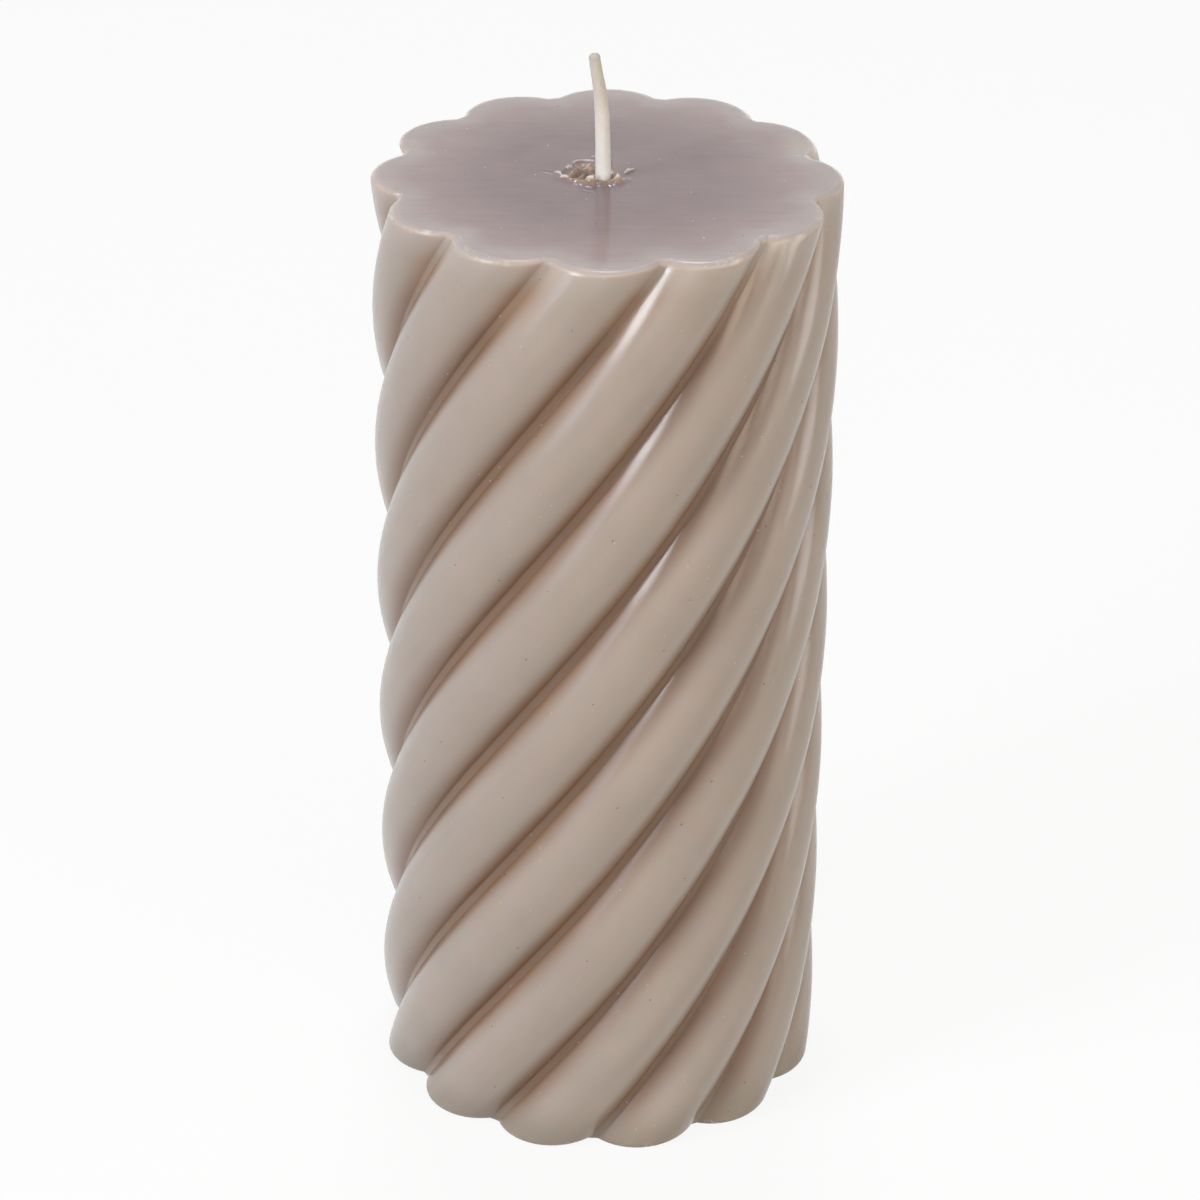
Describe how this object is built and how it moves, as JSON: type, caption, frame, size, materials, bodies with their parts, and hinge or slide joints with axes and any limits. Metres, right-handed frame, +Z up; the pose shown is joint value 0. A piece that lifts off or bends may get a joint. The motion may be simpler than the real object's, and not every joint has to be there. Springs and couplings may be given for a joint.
{
  "type": "swirl pillar candle",
  "caption": "Straight wax pillar candle with round lobes winding up its side, a flat top with a broken pit round the wick, and a steel wick sustainer sunk in its base.",
  "frame": {"origin": "centre of the flat base that the candle stands on", "axes": "+Z up along the body, +X and +Y along the base; at the top a lobe's crest points along +X, turned half a degree towards +Y"},
  "size_m": [0.0694, 0.0694, 0.1694],
  "materials": {
    "wax": "satin taupe wax, dyed through",
    "waxed_cotton": "braided cotton, primed with wax",
    "tin_plate": "tin-plated sheet steel"
  },
  "bodies": {
    "root": {"wax_body": "wax", "wick": "waxed_cotton", "wick_sustainer": "tin_plate"}
  },
  "joints": []
}
